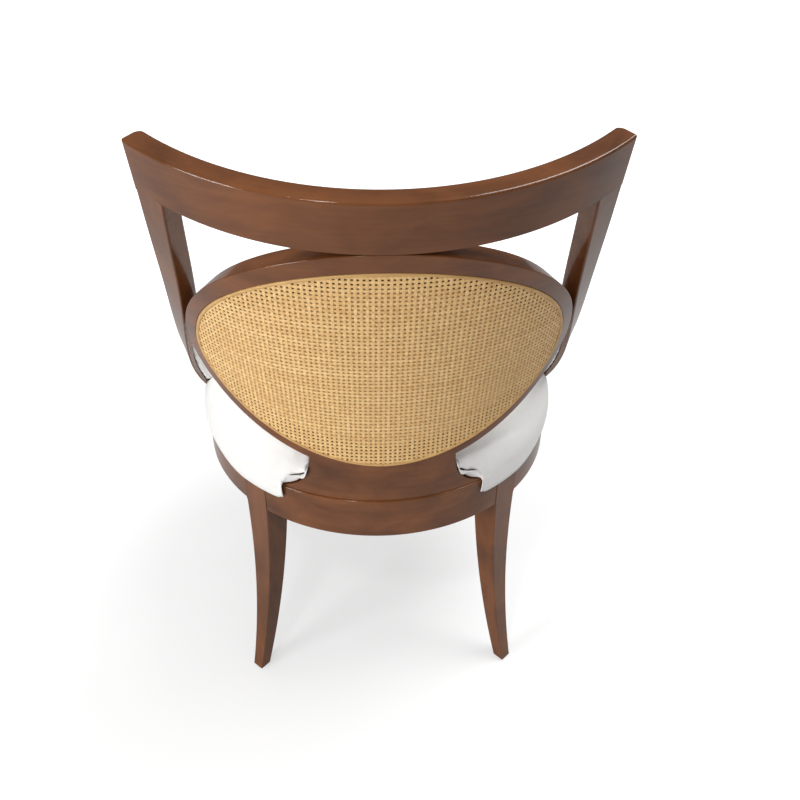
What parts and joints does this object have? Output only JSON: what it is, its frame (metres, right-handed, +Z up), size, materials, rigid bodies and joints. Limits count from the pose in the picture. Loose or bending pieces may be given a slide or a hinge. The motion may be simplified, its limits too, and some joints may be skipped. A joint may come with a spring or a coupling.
{
  "type": "upholstered dining chair",
  "caption": "Round-seated upholstered dining chair with a caned oval back, a curved crest rail and sabre legs.",
  "frame": {"origin": "centre of the bounding box's base, on the floor under the seat", "axes": "+Z up, -Y is the way the sitter faces, +X the sitter's left"},
  "size_m": [0.5446, 0.6294, 0.8925],
  "materials": {
    "lacquered_wood": "glossy reddish-brown lacquer",
    "beech": "bare",
    "plywood": "bare",
    "cane": "woven cane strand, satin",
    "reed": "natural reed, satin",
    "white_fabric": "plain white cloth",
    "lining": "plain woven",
    "foam": "open-cell foam",
    "dust_cloth": "thin black non-woven",
    "glide_plastic": "matte",
    "steel": "zinc plated"
  },
  "bodies": {
    "root": {"back_dowels": "beech", "back_frame_left": "lacquered_wood", "back_frame_right": "lacquered_wood", "back_frame_top": "lacquered_wood", "back_lining": "lining", "back_pad_board": "plywood", "back_pad_cover": "white_fabric", "back_pad_foam": "foam", "back_pad_welt": "white_fabric", "back_pedestal": "lacquered_wood", "cane_panel": "cane", "cane_spline": "reed", "corner_block_front_left": "beech", "corner_block_front_right": "beech", "corner_block_rear_left": "beech", "corner_block_rear_right": "beech", "corner_block_screws": "steel", "crest_rail": "lacquered_wood", "dust_cover": "dust_cloth", "foot_dowels": "beech", "front_leg_left": "lacquered_wood", "front_leg_right": "lacquered_wood", "front_rail": "lacquered_wood", "glides": "glide_plastic", "rail_dowels": "beech", "rear_leg_left": "lacquered_wood", "rear_leg_right": "lacquered_wood", "rear_rail": "lacquered_wood", "seat_board": "plywood", "seat_cover": "white_fabric", "seat_foam": "foam", "seat_screws": "steel", "side_rail_left": "lacquered_wood", "side_rail_right": "lacquered_wood", "stile_facing_left": "white_fabric", "stile_facing_right": "white_fabric", "stile_left": "lacquered_wood", "stile_right": "lacquered_wood"}
  },
  "joints": []
}
